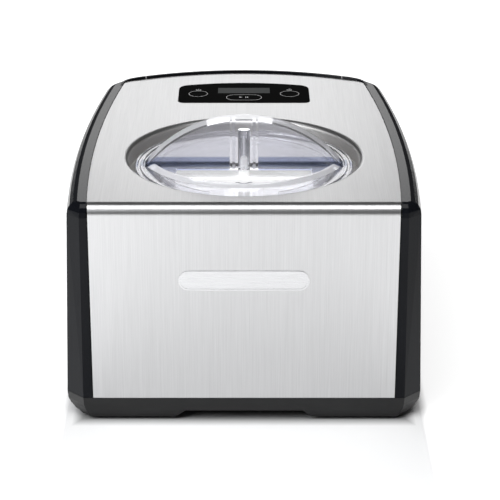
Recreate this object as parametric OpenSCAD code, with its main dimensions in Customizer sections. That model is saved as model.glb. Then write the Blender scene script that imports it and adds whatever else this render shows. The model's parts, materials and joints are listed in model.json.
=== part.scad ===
// Counter-top ice cream maker with its own compressor, a lift-out bowl and a clear lid.
// Millimetres, +X right, +Y back, +Z up. The origin is on the floor, in the middle of the outer box.

/* [Body] */
// Depth of the body, front panel to rear cover
body_d = 400; // [398:1:402]
// Height of the steel top above the floor
top_z = 201.4; // [201:0.1:202]
// Half width of the side mouldings at their widest, just above the base
skin_half = 159.1; // [157:0.1:161]
// Half width of the side mouldings below their top bevel
shoulder_half = 153.9; // [152:0.1:157]
// Half width of the flat strip round the top
strip_half = 144.6; // [143:0.1:146]
// Half width of the steel top at its widest
steel_half = 136.2; // [135:0.1:137]
// Half width of the steel front panel
front_half = 132.1; // [131:0.1:133]
// Thickness of the steel sheet
sheet_t = 1.2; // [1:0.1:1.4]
// Radius of the fold between front and top
fold_r = 9.4; // [6:0.2:10]
// Wall of the plastic mouldings
wall = 3; // [2.5:0.1:3.2]

/* [Well and bowl] */
// Distance of the well's centre behind the front panel
well_back = 130.5; // [128:0.5:132]
// Radius of the well at the steel top
well_r = 106; // [105:0.5:107]
// Outer radius of the mixing bowl
bowl_r = 83.8; // [83:0.1:84]
// Height of the bowl's base above the floor
bowl_z = 90.6; // [90.4:0.1:91]

/* [Lid] */
// Radius of the lid
lid_r = 98.5; // [98:0.1:98.8]
// Height of the underside of the lid above the floor
lid_z = 190.1; // [190:0.1:190.3]
// Height of the top of the handle above the floor
handle_top = 237.2; // [234:0.1:238]
// Radius of the handle's arch
handle_r = 112; // [110:0.5:114]
// Half width of the pour opening
pour_half = 60; // [54:1:62]

/* [Control panel] */
// Half width of the control panel
panel_half = 65; // [64:0.5:66]
// Travel of the push buttons
button_travel = 0.8; // [0.5:0.1:1]

/* [Drive] */
// Gear module
gear_m = 1.2; // [1.2:0.1:1.2]
// Teeth on the drive gear
gear_teeth = 60; // [60:1:60]
// Teeth on the motor pinion
pinion_teeth = 15; // [15:1:15]
// Radius of the drive shaft
shaft_r = 6; // [6:0.5:6]

/* [Hidden] */
$fn = 72;
badge_t = 0.6;
front_y = (badge_t - body_d) / 2;
back_y = (badge_t + body_d) / 2;
well_y = front_y + well_back;
base_z = 3;
base_top = 21.4;
skin_z = 21.7;
side_arc_r = 1705;
side_arc_y = front_y + 122.5;
back_arc_r = 250;
steel_back = front_y + 387;
strip_back = front_y + 390;
shoulder_back = front_y + 392;
shoulder_z = 190;
seam = 0.3;
rear_half = 100;
sheet_under = top_z - sheet_t;
gap = 0.8;
lip_t = 2.2;
lip_z = top_z + 2;
button_x = 45.4;
button_y = front_y + 313;
button_r = 8.4;
start_y = front_y + 301;
start_half = 16.5;
start_r = 7.8;
lcd_half = 25.8;
lcd_front = front_y + 315;
lcd_back = front_y + 333;
panel_front = front_y + 284;
panel_arc_r = 213;
panel_arc_y = front_y + 137;
panel_proud = 0.3;
chamber_r = 84.6;
chamber_wall = 1.4;
foam_r = 104;
gear_z = 48;
gear_t = 8;
gear_gap = (gear_teeth + pinion_teeth) * gear_m / 2 + 0.1;
lens_depth = 63.7;
lens_half = 90;
lens_r = (lens_half * lens_half + lens_depth * lens_depth) / (2 * lens_depth);
lens_y = well_y - lens_depth + lens_r;
comp_x = -72;
comp_y = 112;
comp_r = 52;
fan_x = 55;
fan_y = 126;
fan_z = 82;
cond_y = 150;
gland_x = -60;
gland_z = 44;

// ---- Points and outlines ----

// Points on an arc about c, n steps from angle a0 to a1
function arc(c, r, a0, a1, n) =
  [for (i = [0:n]) c + r * [cos(a0 + (a1 - a0) * i / n), sin(a0 + (a1 - a0) * i / n)]];

function tail(p) = [for (i = [1:len(p) - 1]) p[i]];

function mirrored(p) = [for (i = [len(p) - 1:-1:0]) [-p[i][0], p[i][1]]];

// Upper meeting point of two circles
function meet(c1, r1, c2, r2) =
  let (d = norm(c2 - c1), u = (c2 - c1) / d, a = (r1 * r1 - r2 * r2 + d * d) / (2 * d))
  c1 + a * u + sqrt(r1 * r1 - a * a) * [-u[1], u[0]];

// Right half of a body outline: half width w, back at yb, rear corner radius rc, side starts at y0
function half_plan(w, yb, rc, y0) =
  let (cs = [w - side_arc_r, side_arc_y], cb = [0, yb - back_arc_r],
    p = meet(cs, side_arc_r - rc, cb, back_arc_r - rc),
    af = asin((y0 - side_arc_y) / side_arc_r),
    as = atan2(p[1] - cs[1], p[0] - cs[0]),
    ab = atan2(p[1] - cb[1], p[0] - cb[0]))
  concat(arc(cs, side_arc_r, af, as, 12), tail(arc(p, rc, as, ab, 6)), tail(arc(cb, back_arc_r, ab, 90, 8)));

function plan(w, yb, rc, y0) =
  let (h = half_plan(w, yb, rc, y0)) concat(h, tail(mirrored(h)));

// Outline with chamfered front corners: flat front of half width xf at yf, sides from yc
function skin_plan(w, yb, rc, xf, yf, yc) =
  let (h = concat([[xf, yf]], half_plan(w, yb, rc, yc))) concat(h, mirrored(h));

module slab(points, z0, z1) {
  translate([0, 0, z0])
    linear_extrude(z1 - z0)
      polygon(points);
}

// Outer surface of the mouldings, drawn in by inset
module skin_body(inset) {
  slice = 0.01;
  hull() {
    slab(skin_plan(skin_half - inset, back_y - inset, 34 - inset, 140.5, front_y + inset,
      front_y + 15 + inset), skin_z, skin_z + slice);
    for (a = [0:22.5:90]) {
      half = strip_half + (shoulder_half - strip_half) * cos(a) - inset;
      z = shoulder_z + (top_z - shoulder_z) * sin(a) - inset * sin(a);
      back = strip_back + (shoulder_back - strip_back) * cos(a) - inset;
      face = front_y + fold_r * (1 - cos(a)) + inset;
      slab(skin_plan(half, back, 25 + 7 * cos(a) - inset, 139 - sin(a), face, face + 2 + 8 * cos(a)),
        z - slice, z);
    }
  }
}

// Outer surface of the base tray, drawn in by inset, with rolled-in bottom edges
module base_body(inset) {
  slice = 0.01;
  roll = [[base_top - slice, 0, 0], [15, 0.6, 0.5], [11.2, 2.8, 2.5], [6.8, 7, 6], [base_z, 12.5, 10]];
  hull()
    for (s = roll)
      slab(skin_plan(skin_half - s[1] - inset, back_y - s[2] - inset, 34 - inset, 140.5 - s[1] / 2,
        front_y + s[1] / 12 + inset, front_y + 15 - s[1] / 2 + inset), s[0], s[0] + slice);
}

// Round ring with a rectangular section
module ring(r0, r1, z0, z1) {
  translate([0, 0, z0])
    difference() {
      cylinder(h = z1 - z0, r = r1);
      translate([0, 0, -1])
        cylinder(h = z1 - z0 + 2, r = r0);
    }
}

// Box from corner to corner
module block(p0, p1) {
  translate(p0)
    cube(p1 - p0);
}

// Round post at a place
module post(x, y, z0, z1, r) {
  translate([x, y, z0])
    cylinder(h = z1 - z0, r = r);
}

function panel_plan(grow) =
  let (r = panel_arc_r + grow, w = panel_half + grow, rt = 12 + grow, rb = 6 + grow,
    cx = w - rt, cy = panel_arc_y + sqrt((r - rt) * (r - rt) - cx * cx),
    at = atan2(cy - panel_arc_y, cx),
    h = concat(arc([w - rb, panel_front - grow + rb], rb, -90, 0, 6), arc([cx, cy], rt, 0, at, 6),
      tail(arc([0, panel_arc_y], r, at, 90, 8))))
  concat(h, tail(mirrored(h)));

function stadium(half, r, n) =
  concat(arc([half - r, 0], r, -90, 90, n), arc([r - half, 0], r, 90, 270, n));

// ---- Outside ----

// One sheet: front, fold, top, and the drawn wall of the well
module steel_wrap() color("gainsboro") {
  well_fillet = 3;
  inner_r = well_r - well_fillet + 1.5;
  skirt_z = 184;
  plate = plan(steel_half, steel_back, 17, front_y);
  difference() {
    intersection() {
      union() {
        block([-150, front_y, skin_z], [150, front_y + sheet_t, top_z - fold_r]);
        block([-150, front_y + fold_r, sheet_under], [150, back_y, top_z]);
        intersection() {
          translate([-150, front_y + fold_r, top_z - fold_r])
            rotate([0, 90, 0])
              difference() {
                cylinder(h = 300, r = fold_r);
                translate([0, 0, -1])
                  cylinder(h = 302, r = fold_r - sheet_t);
              }
          block([-150, front_y, top_z - fold_r], [150, front_y + fold_r, top_z]);
        }
      }
      slab(plate, 0, top_z + 1);
      block([-150, front_y - 1, 0], [150, back_y, top_z + 1]);
    }
    translate([0, well_y, sheet_under - 1])
      cylinder(h = 5, r = well_r + well_fillet);
    slab(panel_plan(0), sheet_under - 1, top_z + 1);
  }
  translate([0, well_y, 0])
    rotate_extrude()
      polygon(concat(
        [[well_r + well_fillet, sheet_under]],
        [[well_r + well_fillet, top_z]],
        tail(arc([well_r + well_fillet, top_z - 4.5], 4.5, 90, 180, 6)),
        [[inner_r, skirt_z + sheet_t], [99.5, skirt_z + sheet_t], [99.5, skirt_z],
         [inner_r + sheet_t, skirt_z]],
        arc([well_r + well_fillet, top_z - 4.5], 4.5 - sheet_t, 180, 90, 6)));
}

// Blank pressed plate in the middle of the front
module front_badge() color("whitesmoke") {
  half = 56;
  r = 9;
  translate([0, front_y, 133])
    rotate([90, 0, 0])
      difference() {
        linear_extrude(badge_t)
          polygon(stadium(half, r, 12));
        translate([0, 0, badge_t / 2])
          linear_extrude(1)
            polygon(stadium(half - 1.4, r - 1.4, 12));
      }
}

// Raised lip behind the steel top, which sinks into the top strip towards the sides
module rear_lip() {
  intersection() {
    difference() {
      slab(plan(steel_half + gap + lip_t, steel_back + gap + lip_t, 17 + gap + lip_t, front_y), 199, lip_z);
      slab(plan(steel_half + gap, steel_back + gap, 17 + gap, front_y), 198, lip_z + 1);
    }
    translate([-150, 0, 0])
      rotate([90, 0, 90])
        linear_extrude(300)
          polygon([[140, 199], [210, 199], [210, lip_z], [166, lip_z], [140, top_z - 0.1]]);
  }
}

// Mouldings as one ring, before they are parted
module mouldings() {
  rear_lip();
  difference() {
    skin_body(0);
    skin_body(wall);
    block([-126, front_y - 1, 0], [126, front_y + 20, top_z + 1]);
    block([-front_half - gap, front_y - 1, 0], [front_half + gap, front_y + sheet_t + 0.2, top_z + 1]);
    block([-front_half - gap, front_y - 1, top_z - fold_r - 2], [front_half + gap, front_y + fold_r + 3, top_z + 1]);
    slab(plan(steel_half + gap, steel_back + gap, 17 + gap, front_y + 2), sheet_under, top_z + 1);
    slab(plan(steel_half - 6, steel_back - 6, 12, front_y + 2), 100, top_z + 1);
  }
}

// Places of the screws that hold the side covers and the rear cover to the base
side_bosses = [[132, -150], [132, -20], [127, 48]];
rear_bosses = [[-30, 175], [30, 175]];
all_bosses = concat(side_bosses, mirrored(side_bosses), rear_bosses);

// Screw boss rising from the base edge, drilled up its middle
module boss(x, y) {
  difference() {
    post(x, y, skin_z, 52, 5);
    post(x, y, skin_z - 1, skin_z + 16, 1.6);
  }
}

module side_cover(side) {
  mirror([side > 0 ? 0 : 1, 0, 0]) {
    difference() {
      intersection() {
        mouldings();
        block([60, front_y - 1, 0], [200, back_y + 1, lip_z + 1]);
      }
      block([0, 100, 0], [rear_half + seam / 2, back_y + 1, lip_z + 1]);
    }
    for (p = side_bosses) {
      boss(p[0], p[1]);
      intersection() {
        block([p[0] + 4.8, p[1] - 1.5, skin_z], [200, p[1] + 1.5, 50]);
        skin_body(wall / 2);
      }
    }
  }
}

module left_side_cover() color("dimgray") side_cover(-1);

module right_side_cover() color("dimgray") side_cover(1);

pad_in = 185.5;
pad_out = 196.2;

module rear_cover() color("dimgray") {
  slot_w = 4;
  difference() {
    union() {
      intersection() {
        mouldings();
        block([-rear_half + seam / 2, 100, 0], [rear_half - seam / 2, back_y + 1, lip_z + 1]);
      }
      translate([gland_x, pad_in, gland_z])
        rotate([-90, 0, 0])
          cylinder(h = pad_out - pad_in, r = 13);
      for (p = rear_bosses) {
        boss(p[0], p[1]);
        intersection() {
          block([p[0] - 1.5, p[1] + 4.8, skin_z], [p[0] + 1.5, 200, 50]);
          skin_body(wall / 2);
        }
      }
    }
    for (x = [6:8:94])
      block([x - slot_w / 2, 120, 46], [x + slot_w / 2, back_y + 5, 128]);
    for (x = [-86:8:-22])
      block([x - slot_w / 2, 120, 84], [x + slot_w / 2, back_y + 5, 128]);
    translate([gland_x, 120, gland_z])
      rotate([-90, 0, 0])
        cylinder(h = 100, r = 7.1);
  }
}

// Tray under everything, with a hand notch under its front edge
module base_tray() color("black") {
  floor_t = 3;
  notch_z = 9;
  notch_d = 46;
  difference() {
    union() {
      difference() {
        base_body(0);
        intersection() {
          base_body(wall);
          block([-200, front_y, base_z + floor_t], [200, back_y, base_top + 1]);
        }
        block([-200, front_y, base_top - 0.02], [200, back_y, base_top + 1]);
      }
      block([-66, front_y + 2, base_z + 1], [66, front_y + notch_d + wall, notch_z + wall]);
      for (p = all_bosses)
        post(p[0], p[1], base_z + 1, base_top, 5.5);
      for (p = [[comp_x - 46, comp_y - 40], [comp_x + 46, comp_y - 40], [comp_x - 46, comp_y + 40],
        [comp_x + 46, comp_y + 40]])
        post(p[0], p[1], base_z + 1, 9, 9);
    }
    translate([0, front_y + notch_d, 0])
      rotate([90, 0, 0])
        linear_extrude(notch_d + 5)
          polygon([[-62, 0], [62, 0], [59.5, base_z], [51.5, notch_z], [-51.5, notch_z], [-59.5, base_z]]);
    for (p = all_bosses) {
      post(p[0], p[1], 0, base_top + 1, 2.1);
      post(p[0], p[1], 0, 8, 4.1);
    }
    for (p = feet_places)
      post(p[0], p[1], 0, 9, 4.1);
    for (y = [-20:12:76])
      block([40, y, 0], [100, y + 5, 8]);
  }
}

feet_places = [[-118, -165], [118, -165], [-112, 130], [112, 130]];

module feet() color("black") {
  for (p = feet_places) {
    post(p[0], p[1], 0, base_z, 10);
    post(p[0], p[1], 0, 9, 4);
  }
}

// ---- Control panel ----

module control_panel() color("black") {
  t = 2.6;
  difference() {
    union() {
      slab(panel_plan(-0.25), sheet_under - 0.4, top_z + panel_proud);
      slab(panel_plan(3), sheet_under - t, sheet_under);
    }
    for (s = [-1, 1])
      post(s * button_x, button_y, 0, top_z + 2, button_r + 0.3);
    translate([0, start_y, 0])
      linear_extrude(top_z + 2)
        polygon(stadium(start_half + 0.3, start_r + 0.3, 12));
    block([-lcd_half - 0.1, lcd_front - 0.1, 0], [lcd_half + 0.1, lcd_back + 0.1, top_z + 2]);
    block([-lcd_half - 2, lcd_front - 2, 0], [lcd_half + 2, lcd_back + 2, sheet_under - 1]);
  }
}

module lcd_window() color("gray") {
  block([-lcd_half, lcd_front, sheet_under - 1], [lcd_half, lcd_back, top_z + panel_proud - 0.1]);
  block([-lcd_half - 1.8, lcd_front - 1.8, sheet_under - 2.2],
    [lcd_half + 1.8, lcd_back + 1.8, sheet_under - 1]);
}

// Round push button with a wider foot that keeps it in the panel
module round_button(x) {
  post(x, button_y, sheet_under - t_foot, top_z + panel_proud + 0.2, button_r);
  post(x, button_y, sheet_under - t_foot - 1, sheet_under - t_foot, button_r + 1.5);
  post(x, button_y, stem_z, sheet_under - t_foot, 2.5);
}

t_foot = 2.9;
board_z = 187;
stem_z = board_z + 5.6;

module power_button() color("black") round_button(-button_x);

module timer_button() color("black") round_button(button_x);

module start_stop_button() color("black") {
  translate([0, start_y, sheet_under - t_foot])
    linear_extrude(top_z + panel_proud + 0.2 - sheet_under + t_foot)
      polygon(stadium(start_half, start_r, 12));
  translate([0, start_y, sheet_under - t_foot - 1])
    linear_extrude(1)
      polygon(stadium(start_half + 1.5, start_r + 1.5, 12));
  post(0, start_y, stem_z, sheet_under - t_foot, 2.5);
}

module lcd_module() color("darkseagreen") {
  block([-30, lcd_front - 4, board_z + 1.8], [30, lcd_back + 4, board_z + 9]);
}

module control_board() color("darkgreen") {
  difference() {
    block([-62, panel_front + 2, board_z], [62, panel_front + 56, board_z + 1.6]);
    for (p = panel_posts)
      post(p[0], p[1], board_z - 1, board_z + 2, 1.7);
  }
  for (p = [[-button_x, button_y], [button_x, button_y], [0, start_y]])
    block([p[0] - 3, p[1] - 3, board_z + 1.6], [p[0] + 3, p[1] + 3, board_z + 4.4]);
  block([-50, panel_front + 6, board_z - 8], [-30, panel_front + 12, board_z]);
  block([20, panel_front + 8, board_z - 4], [34, panel_front + 22, board_z]);
}

panel_posts = [[-57, panel_front + 8], [57, panel_front + 8], [-40, panel_front + 50], [40, panel_front + 50]];

// Stand-off screws between the panel and its board
module panel_screws() color("silver") {
  for (p = panel_posts) {
    post(p[0], p[1], board_z - 2, board_z, 3);
    post(p[0], p[1], board_z - 2, board_z + 6, 1.5);
    ring_at(p[0], p[1], 1.5, 3, board_z + 1.6, sheet_under - 2.6);
  }
}

module ring_at(x, y, r0, r1, z0, z1) {
  translate([x, y, 0])
    ring(r0, r1, z0, z1);
}

// ---- Freezing chamber ----

module chamber_collar() color([0.2, 0.2, 0.21])
  translate([0, well_y, 0])
    rotate_extrude()
      polygon([[85.4, 181], [90.5, 181], [90.5, 187.3], [96.6, 187.3], [96.6, 181], [106, 181],
        [106, 183.7], [99.2, 183.7], [99.2, 189.2], [98.6, 189.8], [89.2, 189.8], [88.6, 189.2],
        [88.6, 184], [85.4, 184]]);

module chamber_gasket() color([0.3, 0.3, 0.32])
  translate([0, well_y, 0])
    ring(85.4, 96, 179.6, 181);

module freezing_chamber() color("lightgray")
  translate([0, well_y, 0])
    rotate_extrude()
      polygon([[9.05, 88], [chamber_r + chamber_wall, 88], [chamber_r + chamber_wall, 178.2], [92, 178.2],
        [92, 179.6], [chamber_r, 179.6], [chamber_r, 89.6], [9.05, 89.6]]);

// Refrigerant tube wound on the chamber, one turn above the other
module evaporator_coil() color("peru")
  translate([0, well_y, 0]) {
    for (i = [0:7])
      translate([0, 0, 98 + 10 * i])
        rotate_extrude()
          translate([chamber_r + chamber_wall + 3.05, 0])
            circle(r = 3, $fn = 24);
    for (i = [0:6])
      translate([0, chamber_r + chamber_wall + 3.05, 98 + 10 * i + 2])
        cylinder(h = 6, r = 2, $fn = 24);
  }

// Foam round and under the chamber
module insulation_shell() color("khaki")
  translate([0, well_y, 0])
    rotate_extrude()
      polygon([[12.2, 74], [foam_r, 74], [foam_r, 178], [92.4, 178], [92.4, 87.8], [12.2, 87.8]]);

module chamber_bush() color("darkgoldenrod")
  translate([0, well_y, 0])
    rotate_extrude()
      polygon([[shaft_r + 0.05, 76], [12, 76], [12, 87.9], [9, 87.9], [9, 99], [shaft_r + 0.05, 99]]);

module shaft_seal() color("firebrick")
  translate([0, well_y, 0])
    ring(shaft_r + 0.35, 9, 99, 101.5);

// ---- Bowl, paddle and lid ----

bail_z = 187.9;
bail_r = 85.6;
bail_wire = 1.4;
tube_in = 12.4;
tube_out = 14;
bowl_rim = 186;

module mixing_bowl() color("silver") {
  bowl_in = bowl_r - 1.6;
  difference() {
    union() {
      translate([0, well_y, 0])
        rotate_extrude()
          polygon([[tube_out, bowl_z], [bowl_r - 4, bowl_z], [bowl_r - 1.2, bowl_z + 1.2], [bowl_r, bowl_z + 4],
            [bowl_r, 184.5], [88.2, 184.5], [88.2, bowl_rim], [bowl_in, bowl_rim], [bowl_in, bowl_z + 6],
            [bowl_in - 1.4, bowl_z + 3.2], [bowl_in - 4, bowl_z + 2], [tube_out, bowl_z + 2]]);
      for (s = [-1, 1])
        block([s * 83 - 0.8, well_y - 3.2, bowl_rim - 0.5], [s * 83 + 0.8, well_y + 3.2, 189.7]);
    }
    translate([-100, well_y, bail_z])
      rotate([0, 90, 0])
        cylinder(h = 200, r = 1.16, $fn = 32);
  }
}

// Tube pressed into the hole in the bowl's floor, where the drive shaft comes up
module bowl_tube() color("silver")
  translate([0, well_y, 0])
    rotate_extrude()
      polygon([[tube_in, bowl_z], [tube_out, bowl_z], [tube_out, 158], [tube_in, 158]]);

// Short headed pins that hold the bail in the bowl's ears
module bail_pins() color("gray")
  for (s = [-1, 1])
    translate([0, well_y, bail_z])
      mirror([s > 0 ? 0 : 1, 0, 0])
        rotate([0, 90, 0]) {
          translate([0, 0, 82.1])
            cylinder(h = 5.4, r = 1.15, $fn = 32);
          translate([0, 0, 81.4])
            cylinder(h = 0.7, r = 1.7, $fn = 32);
        }

// Half ring of flat wire with an eye at each end, lying on the bowl's rim
module bowl_bail() color("silver") {
  eye_in = 84.2;
  eye_out = 87.2;
  difference() {
    union() {
      intersection() {
        translate([0, well_y, bail_z])
          rotate_extrude()
            translate([bail_r, 0])
              circle(r = bail_wire, $fn = 24);
        block([-100, well_y, 150], [100, well_y + 100, 200]);
      }
      for (s = [-1, 1])
        translate([s * (eye_in + eye_out) / 2 - 1.5, well_y, bail_z])
          rotate([0, 90, 0])
            cylinder(h = eye_out - eye_in, r = 1.7, $fn = 32);
    }
    translate([-100, well_y, bail_z])
      rotate([0, 90, 0])
        cylinder(h = 200, r = 1.22, $fn = 32);
  }
}

// Hub over the bowl's tube, with scrapers at the wall, ribs, a broad hollow crossbar and a top pin
module paddle() color("white") {
  hub_in = 14.7;
  hub_out = 17.6;
  blade_out = 81.2;
  bar_half = 62;
  bar_deep = 12;
  bar_top = 182;
  bar_wall = 2.5;
  translate([0, well_y, 0]) {
    difference() {
      union() {
        rotate_extrude()
          polygon([[hub_in, 93.4], [hub_out, 93.4], [hub_out, 170], [12, 172], [12, bar_top], [5, bar_top],
            [5, 199], [0, 199], [0, 158.6], [hub_in, 158.6]]);
        difference() {
          block([-bar_half, -bar_deep, 172], [bar_half, bar_deep, bar_top]);
          block([-bar_half + bar_wall, -bar_deep + bar_wall, 171],
            [bar_half - bar_wall, bar_deep - bar_wall, bar_top - bar_wall]);
        }
        for (a = [0, 180])
          rotate([0, 0, a])
            intersection() {
              union() {
                block([hub_out - 1, -2.5, 94], [78, 2.5, 102]);
                block([blade_out - 9, -2.5, 97], [blade_out, 2.5, 172]);
                block([hub_out - 1, -2.5, 160], [blade_out, 2.5, 168]);
                block([45, -2.5, 96], [52, 2.5, bar_top - 1]);
              }
              cylinder(h = 200, r = blade_out);
            }
      }
      post(0, 0, 100, 160, hub_in);
      intersection() {
        post(0, 0, 158, 168.3, shaft_r + 0.35);
        block([-4.95, -8, 157], [4.95, 8, 169]);
      }
    }
  }
}

module lid() color([0.85, 0.86, 0.95, 0.4]) {
  plate_z = 192.3;
  fin_half = 7.4;
  skin = 2.2;
  column = 12.7;
  arch_z = handle_top - handle_r;
  post_r = 8;
  difference() {
    union() {
      translate([0, well_y, 0])
        rotate_extrude()
          polygon([[0, lid_z], [lid_r, lid_z], [lid_r, 192.2], [lid_r - 0.6, 192.8], [96.4, 192.8], [95.8, 192],
            [94.2, 192], [93.6, 193.6], [91.2, 193.6], [90.6, plate_z], [0, plate_z]]);
      translate([0, well_y, 0])
        difference() {
          ring(76.3, 78.3, 184.6, lid_z + 0.5);
          block([-30, -100, 180], [30, -50, 195]);
        }
      intersection() {
        translate([0, lens_y, 0])
          rotate_extrude()
            polygon([[lens_r - 8.9, lid_z], [lens_r, lid_z], [lens_r, plate_z], [lens_r - 4.6, 194.9],
              [lens_r - 6.4, 194.9], [lens_r - 8.9, plate_z]]);
        translate([0, well_y, 0])
          cylinder(h = 200, r = 90.4);
        block([-100, well_y - 100, 185], [100, well_y - fin_half, 200]);
      }
      intersection() {
        translate([0, well_y + fin_half, arch_z])
          rotate([90, 0, 0])
            cylinder(h = 2 * fin_half, r = handle_r, $fn = 144);
        block([-96, well_y - fin_half, lid_z], [96, well_y + fin_half, 250]);
        translate([0, well_y, 0])
          cylinder(h = 260, r = 90.4);
      }
      post(0, front_y + 79, lid_z, 195.2, post_r);
    }
    for (s = [-1, 1])
      intersection() {
        translate([0, well_y + fin_half - skin, arch_z])
          rotate([90, 0, 0])
            cylinder(h = 2 * (fin_half - skin), r = handle_r - skin, $fn = 144);
        block([s > 0 ? column : -90, well_y - 10, lid_z - 1], [s > 0 ? 90 : -column, well_y + 10, 250]);
      }
    block([-column + skin, well_y - fin_half + skin, lid_z - 1], [-7.8, well_y + fin_half - skin, 234.2]);
    block([7.8, well_y - fin_half + skin, lid_z - 1], [column - skin, well_y + fin_half - skin, 234.2]);
    post(0, well_y, lid_z - 1, 226, 5.35);
    intersection() {
      translate([0, lens_y, 0])
        cylinder(h = 210, r = lens_r - 8.9);
      block([-pour_half, well_y - 100, 180], [pour_half, well_y - fin_half - 3, 210]);
    }
    post(0, front_y + 79, 180, 200, post_r - 1.8);
  }
}

// ---- Drive ----

// Rolled-off length of the involute, as a point at roll angle t on a base circle rb
function involute(rb, t) = rb * [cos(t) + t * PI / 180 * sin(t), sin(t) - t * PI / 180 * cos(t)];

// One tooth flank from the root to the tip, turned so that the tooth is centred on +X
function flank(n, m, tip, thin) =
  let (rp = n * m / 2, rb = rp * cos(20), tp = acos(rb / rp), tt = acos(rb / tip),
    roll_p = tan(tp) * 180 / PI, roll_t = tan(tt) * 180 / PI,
    lead = (roll_p - tp), half = 90 / n * thin)
  [for (i = [0:4]) let (q = involute(rb, roll_t * i / 4), a = -lead - half)
    [q[0] * cos(a) - q[1] * sin(a), q[0] * sin(a) + q[1] * cos(a)]];

function turned(p, a) = [for (q = p) [q[0] * cos(a) - q[1] * sin(a), q[0] * sin(a) + q[1] * cos(a)]];

// Outline of an involute gear
function gear_points(n, m, thin) =
  let (rp = n * m / 2, tip = rp + 0.85 * m, root = rp - 1.2 * m, f = flank(n, m, tip, thin),
    a0 = atan2(f[0][1], f[0][0]),
    one = concat([[root * cos(a0), root * sin(a0)]], f, [for (i = [4:-1:0]) [f[i][0], -f[i][1]]],
      [[root * cos(a0), -root * sin(a0)]]))
  [for (k = [0:n - 1]) each turned(one, 360 * k / n)];

module drive_shaft() color("silver")
  translate([0, well_y, 0]) {
    difference() {
      post(0, 0, 17, 168, shaft_r);
      for (s = [-1, 1])
        block([s > 0 ? 4.6 : -8, -8, 156], [s > 0 ? 8 : -4.6, 8, 169]);
    }
  }

module drive_gear() color("ivory")
  translate([0, well_y, 0])
    difference() {
      union() {
        translate([0, 0, gear_z])
          linear_extrude(gear_t)
            polygon(gear_points(gear_teeth, gear_m, 0.9));
        post(0, 0, 44, 60, 11);
      }
      post(0, 0, 40, 70, shaft_r + 0.01);
      for (a = [0:60:300])
        rotate([0, 0, a])
          post(21, 0, 40, 70, 6);
    }

module motor_pinion() color("ivory")
  translate([gear_gap, well_y, 0])
    difference() {
      translate([0, 0, gear_z - 1])
        linear_extrude(gear_t + 2)
          polygon(gear_points(pinion_teeth, gear_m, 0.9));
      post(0, 0, 40, 70, 2.51);
    }

module motor_shaft() color("silver") post(gear_gap, well_y, 16.6, 60, 2.5);

module motor_rotor() color("firebrick")
  translate([gear_gap, well_y, 0])
    difference() {
      post(0, 0, 22, 39, 13);
      post(0, 0, 20, 41, 2.51);
      for (a = [0:30:330])
        rotate([0, 0, a])
          block([11.4, -0.6, 21], [14, 0.6, 40]);
    }

module motor_can() color("gray")
  translate([gear_gap, well_y, 0])
    difference() {
      union() {
        post(0, 0, 14.6, 43.6, 21);
        post(0, 0, 43.6, 45, 8);
      }
      post(0, 0, 19, 42, 13.6);
      post(0, 0, 14, 50, 2.56);
    }

box_x0 = -46;
box_x1 = 72;
box_w = 46;
box_posts = [[box_x0 + 5, -box_w + 5], [box_x0 + 5, box_w - 5], [box_x1 - 5, -box_w + 5], [box_x1 - 5, box_w - 5]];

module gearbox_housing() color("slategray")
  translate([0, well_y, 0])
    difference() {
      union() {
        difference() {
          block([box_x0, -box_w, 12], [box_x1, box_w, 63]);
          block([box_x0 + 2.5, -box_w + 2.5, 14.5], [box_x1 - 2.5, box_w - 2.5, 64]);
        }
        for (p = box_posts)
          post(p[0], p[1], 13, 63, 4);
        for (p = box_posts)
          post(p[0], p[1], 6, 12.5, 4);
      }
      for (p = box_posts)
        post(p[0], p[1], 40, 64, 1.55);
      post(0, 0, 10, 20, 10.02);
    }

module gearbox_cover() color("slategray")
  translate([0, well_y, 0])
    difference() {
      block([box_x0, -box_w, 63.1], [box_x1, box_w, 66]);
      for (p = box_posts)
        post(p[0], p[1], 60, 70, 2);
      post(0, 0, 60, 70, 10.02);
    }

module gearbox_bearings() color("darkgoldenrod")
  translate([0, well_y, 0]) {
    ring(shaft_r + 0.05, 10, 12, 24);
    ring(shaft_r + 0.05, 10, 61, 70);
  }

module gearbox_screws() color("silver")
  for (p = box_posts) {
    post(p[0], p[1] + well_y, 66, 68, 3.4);
    post(p[0], p[1] + well_y, 44, 66.5, 1.5);
  }

// ---- Cooling ----

module compressor() color([0.12, 0.12, 0.13])
  translate([comp_x, comp_y, 0]) {
    rotate_extrude()
      polygon(concat([[0, 22]], [for (a = [0:10:90]) [comp_r * sin(a), 44 - 22 * cos(a)]],
        [[comp_r, 80], [comp_r + 1.5, 80], [comp_r + 1.5, 84], [comp_r, 84]],
        [for (a = [90:-10:0]) [comp_r * sin(a), 106 + 26 * cos(a)]]));
    difference() {
      block([-54, -48, 20], [54, 48, 23]);
      for (x = [-46, 46])
        for (y = [-40, 40])
          post(x, y, 19, 24, 3.2);
    }
  }

module compressor_terminal_cover() color("black")
  difference() {
    block([comp_x + 40, comp_y - 22, 60], [comp_x + 64, comp_y + 22, 78]);
    post(comp_x, comp_y, 50, 90, comp_r + 0.05);
  }

module compressor_grommets() color([0.15, 0.15, 0.15])
  for (x = [-46, 46])
    for (y = [-40, 40])
      ring_at(comp_x + x, comp_y + y, 3.2, 8, 9, 20);

module compressor_bolts() color("silver")
  for (x = [-46, 46])
    for (y = [-40, 40]) {
      post(comp_x + x, comp_y + y, 9, 25, 3);
      translate([comp_x + x, comp_y + y, 23])
        cylinder(h = 4, r = 6, $fn = 6);
    }

cond_x0 = 2;
cond_x1 = 104;
cond_z0 = 40;
cond_z1 = 124;
cond_pitch = 12;

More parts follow.
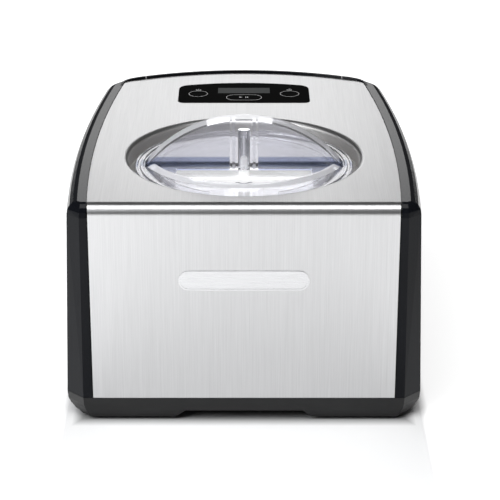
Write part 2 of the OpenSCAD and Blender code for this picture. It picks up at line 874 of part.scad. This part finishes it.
module condenser_fins() color("silver")
  difference() {
    for (x = [cond_x0:6:cond_x1])
      block([x, cond_y - 10, 30], [x + 0.8, cond_y + 10, 134]);
    for (z = [cond_z0:cond_pitch:cond_z1])
      translate([cond_x0 - 5, cond_y, z])
        rotate([0, 90, 0])
          cylinder(h = 120, r = 3.3, $fn = 32);
  }

// Serpentine tube: straight runs through the fins, joined by bends
module condenser_tube() color("peru") {
  for (z = [cond_z0:cond_pitch:cond_z1])
    translate([cond_x0 - 3, cond_y, z])
      rotate([0, 90, 0])
        cylinder(h = cond_x1 - cond_x0 + 6, r = 3.2, $fn = 32);
  for (i = [0:6])
    translate([i % 2 == 0 ? cond_x1 + 3 : cond_x0 - 3, cond_y, cond_z0 + cond_pitch * (i + 0.5)])
      rotate([90, 0, 0])
        intersection() {
          rotate_extrude()
            translate([cond_pitch / 2, 0])
              circle(r = 3.2, $fn = 24);
          translate([i % 2 == 0 ? 0 : -20, -20, -10])
            cube([20, 40, 20]);
        }
}

module fan_blade() color([0.2, 0.2, 0.22])
  translate([fan_x, fan_y, fan_z])
    rotate([90, 0, 0]) {
      difference() {
        translate([0, 0, -6])
          cylinder(h = 12, r = 12);
        translate([0, 0, -7])
          cylinder(h = 14, r = 2.06, $fn = 32);
      }
      for (k = [0:6])
        rotate([0, 0, 360 * k / 7])
          translate([26, 0, 0])
            rotate([32, 0, 0])
              translate([-15, -8, -0.9])
                cube([30, 16, 1.8]);
    }

module fan_shroud() color([0.2, 0.2, 0.22])
  difference() {
    union() {
      block([cond_x0 - 1, 134, 28], [cond_x1 + 2, 136, 136]);
      translate([fan_x, 136, fan_z])
        rotate([90, 0, 0])
          cylinder(h = 18, r = 48);
      block([cond_x0 + 4, 134, 6], [cond_x0 + 12, 136, 30]);
      block([cond_x1 - 12, 134, 6], [cond_x1 - 4, 136, 30]);
    }
    translate([fan_x, 140, fan_z])
      rotate([90, 0, 0])
        cylinder(h = 30, r = 45.5);
  }

module fan_motor() color("gray")
  translate([fan_x, 110, fan_z])
    rotate([90, 0, 0]) {
      cylinder(h = 20, r = 20);
      translate([0, 0, -16 - 5])
        cylinder(h = 22, r = 2, $fn = 32);
    }

module fan_bracket() color("silver")
  difference() {
    union() {
      block([fan_x - 26, 98, 6], [fan_x + 26, 100, fan_z + 24]);
      block([fan_x - 26, 84, 6], [fan_x + 26, 100, 8]);
    }
    translate([fan_x, 120, fan_z])
      rotate([90, 0, 0])
        cylinder(h = 40, r = 20.1);
  }

// ---- Pipes ----

// Catmull-Rom point between p[i] and p[i + 1]
function spline_point(p, i, t) =
  let (a = p[max(i - 1, 0)], b = p[i], c = p[i + 1], d = p[min(i + 2, len(p) - 1)])
  0.5 * (2 * b + (c - a) * t + (2 * a - 5 * b + 4 * c - d) * t * t + (3 * b - a - 3 * c + d) * t * t * t);

function spline(p, n) =
  concat([for (i = [0:len(p) - 2]) for (k = [0:n - 1]) spline_point(p, i, k / n)], [p[len(p) - 1]]);

function unit(v) = v / norm(v);

function heading(p, i) = unit(p[min(i + 1, len(p) - 1)] - p[max(i - 1, 0)]);

// Side vectors carried along the route without twist
function carried(p, i, u) =
  i >= len(p) ? [] :
  let (t = heading(p, i), v = unit(u - (u * t) * t)) concat([v], carried(p, i + 1, v));

// Round tube swept along a route
module sweep(route, r, sides) {
  t0 = heading(route, 0);
  u0 = abs(t0[2]) < 0.9 ? [0, 0, 1] : [1, 0, 0];
  us = carried(route, 0, u0);
  rings = [for (i = [0:len(route) - 1]) let (t = heading(route, i), u = us[i], v = cross(t, u))
    for (k = [0:sides - 1]) route[i] + r * (cos(360 * k / sides) * u + sin(360 * k / sides) * v)];
  last = (len(route) - 1) * sides;
  walls = [for (i = [0:len(route) - 2]) for (k = [0:sides - 1])
    let (a = i * sides + k, b = i * sides + (k + 1) % sides)
    each [[a, a + sides, b], [b, a + sides, b + sides]]];
  polyhedron(rings, concat([[for (k = [0:sides - 1]) k]],
    [[for (k = [sides - 1:-1:0]) last + k]], walls), convexity = 6);
}

suction_route = [[-24, 34, 150], [-26, 42, 160], [-34, 54, 166], [-50, 70, 166], [-60, 86, 162], [-62, 100, 150],
  [-62, 104, 136], [-62, 106, 134]];
discharge_route = [[-88, 118, 132], [-88, 120, 146], [-78, 130, 154], [-56, 142, 154], [-30, 148, 150],
  [-18, 150, 138], [-12, 150, 127], [-6, 150, 124], [-1.2, 150, 124]];
liquid_route = [[-1.2, 150, 40], [-8, 150, 40], [-14, 144, 42], [-14, 128, 50], [-8, 108, 56], [4, 94, 60],
  [10, 92, 65], [10, 92, 69.8]];
capillary_route = [[10, 92, 151.2], [10, 92, 156], [10, 86, 164], [6, 72, 168], [2, 56, 168], [0, 44, 160], [0, 36, 150]];

module suction_pipe() color("peru") sweep(spline(suction_route, 3), 3, 10);

module discharge_pipe() color("peru") sweep(spline(discharge_route, 3), 2.4, 10);

module liquid_pipe() color("peru") sweep(spline(liquid_route, 3), 2, 10);

module capillary_tube() color("peru") sweep(spline(capillary_route, 3), 1.2, 8);

module filter_drier() color("sandybrown")
  translate([10, 92, 0])
    rotate_extrude()
      polygon([[0, 70], [2, 70], [2, 78], [8, 84], [8, 138], [2, 144], [2, 151], [0, 151]]);

// ---- Electrics ----

module power_board() color("darkgreen")
  difference() {
    block([32, 38, 16], [118, 82, 17.6]);
    for (p = board_places)
      post(p[0], p[1], 10, 20, 2);
  }

board_places = [[37, 43], [113, 43], [37, 77], [113, 77]];

module board_parts() color([0.25, 0.3, 0.5]) {
  block([44, 46, 17.6], [72, 72, 42]);
  block([76, 46, 17.6], [92, 60, 34]);
  post(84, 70, 17.6, 40, 6);
  post(100, 70, 17.6, 40, 6);
  block([98, 46, 17.6], [106, 62, 30]);
}

// Stand-offs and screws under the power board
module board_posts() color("white")
  for (p = board_places) {
    post(p[0], p[1], 6, 16, 3.5);
    post(p[0], p[1], 6, 19, 1.9);
    post(p[0], p[1], 17.6, 19.4, 3.2);
  }

// Bushing in the rear cover that the mains lead passes through
module cord_gland() color("black")
  translate([gland_x, 0, gland_z])
    rotate([-90, 0, 0])
      difference() {
        union() {
          translate([0, 0, 184])
            cylinder(h = 15.4, r = 7);
          translate([0, 0, 196.2])
            cylinder(h = 3.6, r = 9.5);
          translate([0, 0, 183])
            cylinder(h = 2.5, r = 9.5);
        }
        translate([0, 0, 170])
          cylinder(h = 40, r = 3.8);
      }

module base_screws() color("gray")
  for (p = all_bosses) {
    post(p[0], p[1], 5.6, 8, 3.8);
    post(p[0], p[1], 5.6, 34, 1.55);
  }

steel_wrap();
front_badge();
left_side_cover();
right_side_cover();
rear_cover();
base_tray();
feet();
control_panel();
lcd_window();
power_button();
timer_button();
start_stop_button();
lcd_module();
control_board();
panel_screws();
chamber_collar();
chamber_gasket();
freezing_chamber();
evaporator_coil();
insulation_shell();
chamber_bush();
shaft_seal();
mixing_bowl();
bowl_tube();
bail_pins();
bowl_bail();
paddle();
lid();
drive_shaft();
drive_gear();
gearbox_housing();
gearbox_cover();
gearbox_bearings();
gearbox_screws();
motor_can();
motor_rotor();
motor_shaft();
motor_pinion();
compressor();
compressor_terminal_cover();
compressor_grommets();
compressor_bolts();
condenser_fins();
condenser_tube();
fan_blade();
fan_shroud();
fan_motor();
fan_bracket();
filter_drier();
suction_pipe();
discharge_pipe();
liquid_pipe();
capillary_tube();
power_board();
board_parts();
board_posts();
cord_gland();
base_screws();
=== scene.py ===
import json
import math

import bmesh
import bpy
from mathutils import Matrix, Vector


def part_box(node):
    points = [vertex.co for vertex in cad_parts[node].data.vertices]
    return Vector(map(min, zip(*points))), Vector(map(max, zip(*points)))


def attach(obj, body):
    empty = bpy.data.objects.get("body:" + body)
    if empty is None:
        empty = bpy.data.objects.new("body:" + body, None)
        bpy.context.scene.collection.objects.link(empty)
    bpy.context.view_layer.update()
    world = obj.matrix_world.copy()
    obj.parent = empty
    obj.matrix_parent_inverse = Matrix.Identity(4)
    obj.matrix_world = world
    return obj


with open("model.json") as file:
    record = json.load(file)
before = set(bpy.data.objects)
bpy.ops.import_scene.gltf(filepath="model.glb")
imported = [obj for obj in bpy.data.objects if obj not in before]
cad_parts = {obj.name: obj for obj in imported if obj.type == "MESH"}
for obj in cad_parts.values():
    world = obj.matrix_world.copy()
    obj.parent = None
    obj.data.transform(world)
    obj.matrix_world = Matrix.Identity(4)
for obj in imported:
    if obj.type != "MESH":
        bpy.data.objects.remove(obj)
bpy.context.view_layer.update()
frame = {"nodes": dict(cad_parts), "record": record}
nodes = frame["nodes"]
scene = bpy.context.scene
MM = 0.001

# ---- Places read from the frame ----

well_lo, well_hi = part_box("chamber_collar")
WELL_Y = (well_lo.y + well_hi.y) / 2
FRONT_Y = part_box("steel_wrap")[0].y
TOP_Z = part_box("steel_wrap")[1].z

# ---- Camera, floor and light ----

ELEVATION = math.radians(22.16)
DISTANCE = 1.568
AIM_HEIGHT = 0.1613
LENS_MM = 133.35
SHIFT = 0.0121

camera = bpy.data.objects.new("camera", bpy.data.cameras.new("camera"))
scene.collection.objects.link(camera)
camera.location = (0, FRONT_Y - DISTANCE * math.cos(ELEVATION), AIM_HEIGHT + DISTANCE * math.sin(ELEVATION))
camera.rotation_euler = (math.pi / 2 - ELEVATION, 0, 0)
camera.data.sensor_width = 36
camera.data.lens = LENS_MM
camera.data.shift_x = SHIFT
camera.data.clip_end = 50
scene.camera = camera
scene.view_settings.view_transform = "Standard"


def mesh_object(name, verts, faces):
    """A linked mesh object made from lists of points and faces."""
    mesh = bpy.data.meshes.new(name)
    mesh.from_pydata(verts, [], faces)
    mesh.update()
    obj = bpy.data.objects.new(name, mesh)
    scene.collection.objects.link(obj)
    return obj


def area_light(name, place, target, size, size_y, power, colour=(1, 1, 1)):
    data = bpy.data.lights.new(name, "AREA")
    data.shape = "RECTANGLE"
    data.size = size
    data.size_y = size_y
    data.energy = power
    data.color = colour
    light = bpy.data.objects.new(name, data)
    light.location = place
    light.rotation_euler = (Vector(target) - Vector(place)).to_track_quat("-Z", "Y").to_euler()
    scene.collection.objects.link(light)


area_light("overhead_softbox", (0, -0.8, 2.2), (0, -0.6, 0), 2.2, 1.3, 35.5)
area_light("backdrop", (-0.08, 3.4, 1.34), (0, 0, 0.2), 1.35, 0.8, 7.2)
area_light("left_key", (-1.0, -0.9, 0.9), (0, -0.35, 0), 0.8, 0.8, 15, (0.97, 0.985, 1))
area_light("left_low", (-1.5, 0.3, 0.12), (0, 0.05, 0.05), 1.2, 0.3, 1.2, (0.8, 0.9, 1))

world = bpy.data.worlds.new("studio")
scene.world = world
world.use_nodes = True
world.node_tree.nodes["Background"].inputs["Color"].default_value = (1, 1, 1, 1)
world.node_tree.nodes["Background"].inputs["Strength"].default_value = 0.08

# ---- Materials ----


def new_material(name):
    """A material with an empty Principled shader, its node tree and that shader."""
    mat = bpy.data.materials.new(name)
    mat.use_nodes = True
    tree = mat.node_tree
    return mat, tree, tree.nodes["Principled BSDF"]


def stretched_noise(tree, scale, detail=3, distortion=0.0, rough=0.5):
    """Noise in object space with its own scale along each axis, in cycles per metre."""
    coord = tree.nodes.new("ShaderNodeTexCoord")
    mapping = tree.nodes.new("ShaderNodeMapping")
    mapping.inputs["Scale"].default_value = scale
    noise = tree.nodes.new("ShaderNodeTexNoise")
    noise.inputs["Scale"].default_value = 1
    noise.inputs["Detail"].default_value = detail
    noise.inputs["Roughness"].default_value = rough
    noise.inputs["Distortion"].default_value = distortion
    tree.links.new(coord.outputs["Object"], mapping.inputs["Vector"])
    tree.links.new(mapping.outputs["Vector"], noise.inputs["Vector"])
    return noise.outputs["Fac"]


def ranged(tree, value, low, high, from_low=0.3, from_high=0.7):
    node = tree.nodes.new("ShaderNodeMapRange")
    node.inputs["From Min"].default_value = from_low
    node.inputs["From Max"].default_value = from_high
    node.inputs["To Min"].default_value = low
    node.inputs["To Max"].default_value = high
    tree.links.new(value, node.inputs["Value"])
    return node.outputs["Result"]


def blended(tree, factor, dark, light):
    node = tree.nodes.new("ShaderNodeMix")
    node.data_type = "RGBA"
    node.inputs["A"].default_value = (*dark, 1)
    node.inputs["B"].default_value = (*light, 1)
    tree.links.new(factor, node.inputs["Factor"])
    return node.outputs["Result"]


def bumped(tree, shader, height, strength, distance):
    node = tree.nodes.new("ShaderNodeBump")
    node.inputs["Strength"].default_value = strength
    node.inputs["Distance"].default_value = distance
    tree.links.new(height, node.inputs["Height"])
    tree.links.new(node.outputs["Normal"], shader.inputs["Normal"])


def surface(name, dark, light, rough, grain=(900, 900, 900), metal=0.0, bump=0.2, depth=0.0001, **sockets):
    """A procedural finish: colour and roughness vary with fine grain, and the grain stands up a little."""
    mat, tree, shader = new_material(name)
    fine = stretched_noise(tree, grain)
    broad = stretched_noise(tree, (14, 14, 14), detail=2)
    shader.inputs["Metallic"].default_value = metal
    tree.links.new(blended(tree, ranged(tree, broad, 0, 1), dark, light), shader.inputs["Base Color"])
    tree.links.new(ranged(tree, fine, rough[0], rough[1]), shader.inputs["Roughness"])
    bumped(tree, shader, fine, bump, depth)
    for socket, value in sockets.items():
        shader.inputs[socket.replace("_", " ")].default_value = value
    return mat


def brushed(name, dark, light, rough, lines=(2600, 18, 18), bump=0.1, across=0.0):
    """Metal brushed with long fine lines that run across the axis with the high scale."""
    mat, tree, shader = new_material(name)
    if across:
        tangent = tree.nodes.new("ShaderNodeTangent")
        tangent.direction_type = "RADIAL"
        tangent.axis = "X"
        tree.links.new(tangent.outputs["Tangent"], shader.inputs["Tangent"])
        shader.inputs["Anisotropic"].default_value = across
        shader.inputs["Anisotropic Rotation"].default_value = 0.25
    fine = stretched_noise(tree, lines, detail=4, rough=0.65)
    streak = stretched_noise(tree, tuple(s * 0.4 for s in lines), detail=2)
    shader.inputs["Metallic"].default_value = 1
    colour = blended(tree, ranged(tree, fine, 0, 1, 0.25, 0.75), dark, light)
    tree.links.new(colour, shader.inputs["Base Color"])
    tree.links.new(ranged(tree, streak, rough[0], rough[1]), shader.inputs["Roughness"])
    bumped(tree, shader, fine, bump, 0.00005)
    return mat


MATERIALS = {
    "brushed_steel": brushed("brushed_steel", (0.51, 0.51, 0.515), (0.62, 0.62, 0.625), (0.325, 0.345),
                             across=0.5),
    # Lighter than the brushed steel of the same sheet: painted light for the well wall; the higher
    # roughness is its duller drawn finish
    "drawn_steel_painted_light": brushed("drawn_steel_painted_light", (0.66, 0.65, 0.64), (0.76, 0.75, 0.74), (0.55, 0.62),
                           lines=(30, 30, 1800)),
    "badge_steel": brushed("badge_steel", (0.6, 0.6, 0.61), (0.74, 0.74, 0.75), (0.22, 0.3),
                           lines=(40, 2600, 2600)),
    "side_plastic": surface("side_plastic", (0.003, 0.0034, 0.005), (0.005, 0.0058, 0.008), (0.16, 0.22),
                            grain=(2200, 2200, 2200), bump=0.06, depth=0.00004, IOR=1.22),
    "base_plastic": surface("base_plastic", (0.005, 0.005, 0.0055), (0.008, 0.008, 0.0085), (0.34, 0.42),
                            bump=0.15, IOR=1.4),
    "rubber_black": surface("rubber_black", (0.015, 0.015, 0.015), (0.03, 0.03, 0.03), (0.7, 0.85),
                            bump=0.4),
    "panel_black": surface("panel_black", (0.001, 0.001, 0.001), (0.0015, 0.0015, 0.0015), (0.05, 0.09),
                           grain=(60, 60, 60), bump=0.01, IOR=1.01),
    "display_grey": surface("display_grey", (0.05, 0.053, 0.053), (0.06, 0.063, 0.063), (0.1, 0.16),
                            grain=(3000, 3000, 3000), bump=0.02, IOR=1.02),
    # The paddle's plastic glows faintly (emission 0.4): painted light for the light that hardly reaches it
    # through the clear lid
    "paddle_white": surface("paddle_white", (0.82, 0.82, 0.82), (0.9, 0.9, 0.9), (0.35, 0.45), bump=0.15,
                            Emission_Color=(1, 1, 1, 1), Emission_Strength=0.4),
    "bowl_aluminium": brushed("bowl_aluminium", (0.6, 0.6, 0.62), (0.74, 0.74, 0.76), (0.3, 0.42),
                              lines=(12, 12, 2600)),
    "bail_steel": brushed("bail_steel", (0.6, 0.6, 0.61), (0.75, 0.75, 0.76), (0.18, 0.26),
                          lines=(300, 300, 300)),
    "chamber_aluminium": brushed("chamber_aluminium", (0.56, 0.57, 0.58), (0.68, 0.69, 0.7), (0.35, 0.45),
                                 lines=(16, 16, 1800)),
    "collar_plastic": surface("collar_plastic", (0.4, 0.4, 0.405), (0.46, 0.46, 0.465), (0.35, 0.45)),
    "foam": surface("foam", (0.62, 0.5, 0.26), (0.76, 0.65, 0.4), (0.8, 0.95), grain=(500, 500, 500),
                    bump=0.8, depth=0.001),
    "copper": surface("copper", (0.6, 0.28, 0.16), (0.78, 0.42, 0.27), (0.2, 0.35), metal=1,
                      grain=(300, 300, 300)),
    "bronze": surface("bronze", (0.4, 0.27, 0.12), (0.52, 0.37, 0.18), (0.35, 0.5), metal=1),
    "seal_rubber": surface("seal_rubber", (0.2, 0.03, 0.025), (0.3, 0.05, 0.04), (0.5, 0.6)),
    "gear_plastic": surface("gear_plastic", (0.74, 0.72, 0.64), (0.84, 0.82, 0.75), (0.35, 0.45)),
    "zinc_steel": surface("zinc_steel", (0.45, 0.46, 0.47), (0.62, 0.63, 0.65), (0.25, 0.4), metal=1,
                          grain=(400, 400, 400)),
    "cast_grey": surface("cast_grey", (0.3, 0.31, 0.33), (0.42, 0.43, 0.45), (0.5, 0.65), metal=0.9,
                         grain=(1200, 1200, 1200), bump=0.5, depth=0.0002),
    "motor_winding": surface("motor_winding", (0.3, 0.07, 0.04), (0.5, 0.13, 0.08), (0.3, 0.45),
                             grain=(200, 200, 2400)),
    "compressor_black": surface("compressor_black", (0.01, 0.01, 0.011), (0.018, 0.018, 0.02), (0.22, 0.34),
                                grain=(700, 700, 700), bump=0.3, depth=0.0002),
    "fin_aluminium": brushed("fin_aluminium", (0.6, 0.61, 0.62), (0.75, 0.76, 0.77), (0.3, 0.4),
                             lines=(20, 20, 900)),
    "fan_plastic": surface("fan_plastic", (0.02, 0.02, 0.022), (0.035, 0.035, 0.038), (0.4, 0.5)),
    "board_green": surface("board_green", (0.012, 0.09, 0.03), (0.02, 0.14, 0.05), (0.25, 0.35),
                           grain=(900, 900, 900)),
    "part_blue": surface("part_blue", (0.05, 0.07, 0.2), (0.08, 0.11, 0.3), (0.35, 0.5)),
    "nylon_white": surface("nylon_white", (0.7, 0.7, 0.68), (0.8, 0.8, 0.78), (0.4, 0.5)),
}


def maths(tree, operation, first, second=None):
    node = tree.nodes.new("ShaderNodeMath")
    node.operation = operation
    tree.links.new(first, node.inputs[0])
    if second is not None:
        tree.links.new(second, node.inputs[1])
    return node.outputs["Value"]


def row_axes(tree):
    """Object-space X, Y and Z outputs."""
    place = tree.nodes.new("ShaderNodeTexCoord")
    axes = tree.nodes.new("ShaderNodeSeparateXYZ")
    tree.links.new(place.outputs["Object"], axes.inputs["Vector"])
    return axes.outputs["X"], axes.outputs["Y"], axes.outputs["Z"]


# The handle's fin stands on the lid between these heights, this thick either side of the well's middle
FOOT_Z = 0.1921
FOOT_TOP = 0.1965
FIN_HALF = 0.0078
FIN_EDGE = 0.0007
COLUMN_HALF = 0.0125


def clear_plastic(name, transmission):
    """Clear moulded plastic with a faint violet tint, and a deeper blue painted along the foot of the
    handle as painted shade.
    """
    mat, tree, shader = new_material(name)
    faint = stretched_noise(tree, (35, 35, 35), detail=2)
    tint = blended(tree, faint, (0.93, 0.93, 0.975), (0.97, 0.97, 0.995))
    x, y, z = row_axes(tree)
    foot_shade_mask = ranged(tree, maths(tree, "ABSOLUTE", x), 0, 1, COLUMN_HALF, COLUMN_HALF + 0.001)
    for limit in (
        ranged(tree, y, 0, 1, WELL_Y - FIN_HALF - FIN_EDGE, WELL_Y - FIN_HALF),
        ranged(tree, y, 1, 0, WELL_Y + FIN_HALF, WELL_Y + FIN_HALF + FIN_EDGE),
        ranged(tree, z, 0, 1, FOOT_Z, FOOT_Z + 0.0003),
        ranged(tree, z, 1, 0, FOOT_TOP, FOOT_TOP + 0.0012),
    ):
        foot_shade_mask = maths(tree, "MULTIPLY", foot_shade_mask, limit)
    # Painted shade: a darker blue painted on the foot of the handle's fin
    foot_painted_shade = tree.nodes.new("ShaderNodeMix")
    foot_painted_shade.data_type = "RGBA"
    foot_painted_shade.inputs["B"].default_value = (0.36, 0.41, 0.58, 1)
    tree.links.new(foot_shade_mask, foot_painted_shade.inputs["Factor"])
    tree.links.new(tint, foot_painted_shade.inputs["A"])
    tree.links.new(foot_painted_shade.outputs["Result"], shader.inputs["Base Color"])
    tree.links.new(ranged(tree, faint, 0.02, 0.05), shader.inputs["Roughness"])
    shader.inputs["Transmission Weight"].default_value = transmission
    shader.inputs["IOR"].default_value = 1.49
    return mat


MATERIALS["clear_plastic"] = clear_plastic("clear_plastic", 0.92)
# A cloudier, whiter copy of the clear plastic, used as a painted highlight on the arch top and pour lip
MATERIALS["clear_plastic_painted_highlight"] = clear_plastic("clear_plastic_painted_highlight", 0.45)

SLOT_OF = {row["node"]: row["material_slot"] for row in frame["record"]["subparts"]}
for node_name, node_object in nodes.items():
    node_object.data.materials.clear()
    node_object.data.materials.append(MATERIALS[SLOT_OF[node_name]])

# The top of the handle's arch and the raised lip of the pouring opening get the cloudier, whiter copy of
# the plastic: a painted highlight standing in for the bright light seen on them
ARCH_AXIS_Z = 0.1252
ARCH_R = 0.1118
ARCH_LOW = 0.195
LIP_Z = 0.1925
LIP_TOP = 0.1952
LIP_HALF = 0.09
LIP_R = 0.0902
lid = nodes["lid"]
lid.data.materials.append(MATERIALS["clear_plastic_painted_highlight"])
for face in lid.data.polygons:
    middle_x, middle_y, middle_z = lid.matrix_world @ face.center
    from_arch_axis = math.hypot(middle_x, middle_z - ARCH_AXIS_Z)
    from_well_axis = math.hypot(middle_x, middle_y - WELL_Y)
    on_fin = abs(middle_y - WELL_Y) < FIN_HALF - 0.0005
    on_arch = on_fin and from_arch_axis > ARCH_R - 0.0004 and middle_z > ARCH_LOW
    before_fin = middle_y < WELL_Y - 0.008 and abs(middle_x) < LIP_HALF
    on_lip = before_fin and from_well_axis < LIP_R and LIP_Z < middle_z < LIP_TOP
    if on_arch or on_lip:
        face.material_index = 1

# The drawn wall of the well gets a duller finish than the brushed top, and a lighter colour that is painted
# light, making up for light the wall does not catch
WELL_R = 0.1075
steel = nodes["steel_wrap"]
steel.data.materials.append(MATERIALS["drawn_steel_painted_light"])
for face in steel.data.polygons:
    middle_x, middle_y, middle_z = steel.matrix_world @ face.center
    if middle_z < TOP_Z - 0.002 and math.hypot(middle_x, middle_y - WELL_Y) < WELL_R:
        face.material_index = 1

# White paper with a painted contact shadow close under the body, and a painted glow that grows away from it
PAINTED_SHADOW_SIDE = (0.142, 0.151)
PAINTED_SHADOW_DEEP = (0.198, 0.211)
GLOW_SIDE = (0.156, 0.164)
GLOW_BEHIND = (0.2, 0.6)
GLOW_FRONT = (-0.6, -0.21)
floor_mat, floor_tree, floor_shader = new_material("paper_painted_shadow_and_glow")
floor_grain = stretched_noise(floor_tree, (6, 6, 6), detail=2)
floor_x, floor_y, _ = row_axes(floor_tree)
sideways = maths(floor_tree, "ABSOLUTE", floor_x)
# Painted shadow: inside these bounds round the body's footprint the paper's colour falls to dark grey
painted_shadow_side = ranged(floor_tree, sideways, 0, 1, *PAINTED_SHADOW_SIDE)
painted_shadow_deep = ranged(floor_tree, maths(floor_tree, "ABSOLUTE", floor_y), 0, 1, *PAINTED_SHADOW_DEEP)
outside_painted_shadow = maths(floor_tree, "MAXIMUM", painted_shadow_side, painted_shadow_deep)
paper = blended(floor_tree, floor_grain, (0.88, 0.88, 0.88), (0.9, 0.9, 0.9))
painted_shadow_mix = floor_tree.nodes.new("ShaderNodeMix")
painted_shadow_mix.data_type = "RGBA"
painted_shadow_mix.inputs["A"].default_value = (0.3, 0.3, 0.3, 1)
floor_tree.links.new(outside_painted_shadow, painted_shadow_mix.inputs["Factor"])
floor_tree.links.new(paper, painted_shadow_mix.inputs["B"])
floor_tree.links.new(painted_shadow_mix.outputs["Result"], floor_shader.inputs["Base Color"])
floor_shader.inputs["Roughness"].default_value = 0.9
floor_shader.inputs["Emission Color"].default_value = (1, 1, 1, 1)
# Painted glow: the paper emits nothing close to the body, rising to 0.6 beside it, 1 behind and 0.4 in
# front
glow_side = ranged(floor_tree, sideways, 0, 0.6, *GLOW_SIDE)
glow_behind = ranged(floor_tree, floor_y, 0, 1, *GLOW_BEHIND)
glow_front = ranged(floor_tree, floor_y, 0.4, 0, *GLOW_FRONT)
glow = maths(floor_tree, "MAXIMUM", maths(floor_tree, "MAXIMUM", glow_side, glow_behind), glow_front)
floor_tree.links.new(glow, floor_shader.inputs["Emission Strength"])
floor = mesh_object("floor", [(-9, -9, 0), (9, -9, 0), (9, 9, 0), (-9, 9, 0)], [(0, 1, 2, 3)])
floor.data.materials.append(floor_mat)

# ---- Printed marks on the control panel ----

PANEL_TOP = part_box("control_panel")[1].z
BUTTON_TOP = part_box("power_button")[1].z
PRINT = 0.00004


def circle_path(cx, cy, radius, start=0, turn=360, count=48):
    """Points round a circle, in the row frame, from one angle in degrees through a turn."""
    angles = [math.radians(start + turn * i / count) for i in range(count + 1)]
    points = [(cx + radius * math.cos(a), cy + radius * math.sin(a)) for a in angles]
    return points[:-1] if abs(turn) == 360 else points


def stadium_path(cx, cy, half, radius, count=16):
    """Points round a slot shape whose straight sides run along X."""
    ends = [(half - radius, -90), (radius - half, 90)]
    return [(cx + dx + radius * math.cos(math.radians(a0 + 180 * i / count)),
             cy + radius * math.sin(math.radians(a0 + 180 * i / count)))
            for dx, a0 in ends for i in range(count + 1)]


def ribbon(bm, points, width, z, closed=True):
    """A thin raised line of even width along a flat path."""
    count = len(points)
    rows = []
    for i, point in enumerate(points):
        before = Vector(points[i - 1] if closed or i else point)
        after = Vector(points[(i + 1) % count] if closed or i < count - 1 else point)
        along = (after - before).normalized()
        side = Vector((-along.y, along.x)) * width / 2
        here = Vector(point)
        rows.append([bm.verts.new((*(here + side * s), z + h))
                     for s, h in ((-1, 0), (-1, PRINT), (1, PRINT), (1, 0))])
    pairs = zip(rows, rows[1:] + rows[:1] if closed else rows[1:])
    for first, second in pairs:
        for k in range(4):
            bm.faces.new((first[k], first[(k + 1) % 4], second[(k + 1) % 4], second[k]))
    if not closed:
        bm.faces.new(rows[0][::-1])
        bm.faces.new(rows[-1])


def plate(bm, points, z):
    """A thin raised flat shape with a given outline."""
    low = [bm.verts.new((*p, z)) for p in points]
    high = [bm.verts.new((*p, z + PRINT)) for p in points]
    bm.faces.new(high)
    bm.faces.new(low[::-1])
    for i in range(len(points)):
        j = (i + 1) % len(points)
        bm.faces.new((low[i], low[j], high[j], high[i]))


def piece(name, build, body):
    """A named printed mark that rides on a body."""
    bm = bmesh.new()
    build(bm)
    bmesh.ops.recalc_face_normals(bm, faces=bm.faces)
    mesh = bpy.data.meshes.new(name)
    bm.to_mesh(mesh)
    bm.free()
    mesh.materials.append(MATERIALS["printed_mark"])
    obj = bpy.data.objects.new(name, mesh)
    scene.collection.objects.link(obj)
    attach(obj, body)


def middle(node):
    low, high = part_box(node)
    return (low.x + high.x) / 2, (low.y + high.y) / 2


MATERIALS["printed_mark"] = surface("printed_mark", (0.5, 0.5, 0.5), (0.6, 0.6, 0.6), (0.4, 0.5))
power_xy, timer_xy, start_xy = middle("power_button"), middle("timer_button"), middle("start_stop_button")
LINE = 0.45 * MM
RING_GAP = 0.9 * MM
ROUND_R = 8.4 * MM
START_HALF = 16.5 * MM
START_R = 7.8 * MM
ICON_RISE = 12.6 * MM


def outline_rings(bm):
    for x, y in (power_xy, timer_xy):
        ribbon(bm, circle_path(x, y, ROUND_R + RING_GAP), LINE, PANEL_TOP)
    ribbon(bm, stadium_path(*start_xy, START_HALF + RING_GAP, START_R + RING_GAP), LINE, PANEL_TOP)


def power_icon(bm):
    x, y = power_xy
    y += ICON_RISE
    ribbon(bm, circle_path(x, y, 2.2 * MM, 125, 290, 30), LINE, PANEL_TOP, closed=False)
    ribbon(bm, [(x, y + 0.4 * MM), (x, y + 2.8 * MM)], LINE, PANEL_TOP, closed=False)


def timer_icon(bm):
    x, y = timer_xy
    y += ICON_RISE
    ribbon(bm, circle_path(x, y, 2.3 * MM), LINE, PANEL_TOP)
    ribbon(bm, [(x, y + 1.5 * MM), (x, y), (x + 1.1 * MM, y)], 0.3 * MM, PANEL_TOP, closed=False)
    ribbon(bm, [(x - 0.8 * MM, y + 3.1 * MM), (x + 0.8 * MM, y + 3.1 * MM)], LINE, PANEL_TOP, closed=False)


def start_stop_icon(bm):
    x, y = start_xy
    plate(bm, [(x - 4.5 * MM, y - 1.7 * MM), (x - 1.4 * MM, y), (x - 4.5 * MM, y + 1.7 * MM)], BUTTON_TOP)
    for left in (1.4, 3.2):
        plate(bm, [(x + left * MM, y - 1.6 * MM), (x + (left + 0.9) * MM, y - 1.6 * MM),
                   (x + (left + 0.9) * MM, y + 1.6 * MM), (x + left * MM, y + 1.6 * MM)], BUTTON_TOP)


piece("button_outlines", outline_rings, "root")
piece("power_mark", power_icon, "root")
piece("timer_mark", timer_icon, "root")
piece("start_stop_mark", start_stop_icon, "start_stop_button")
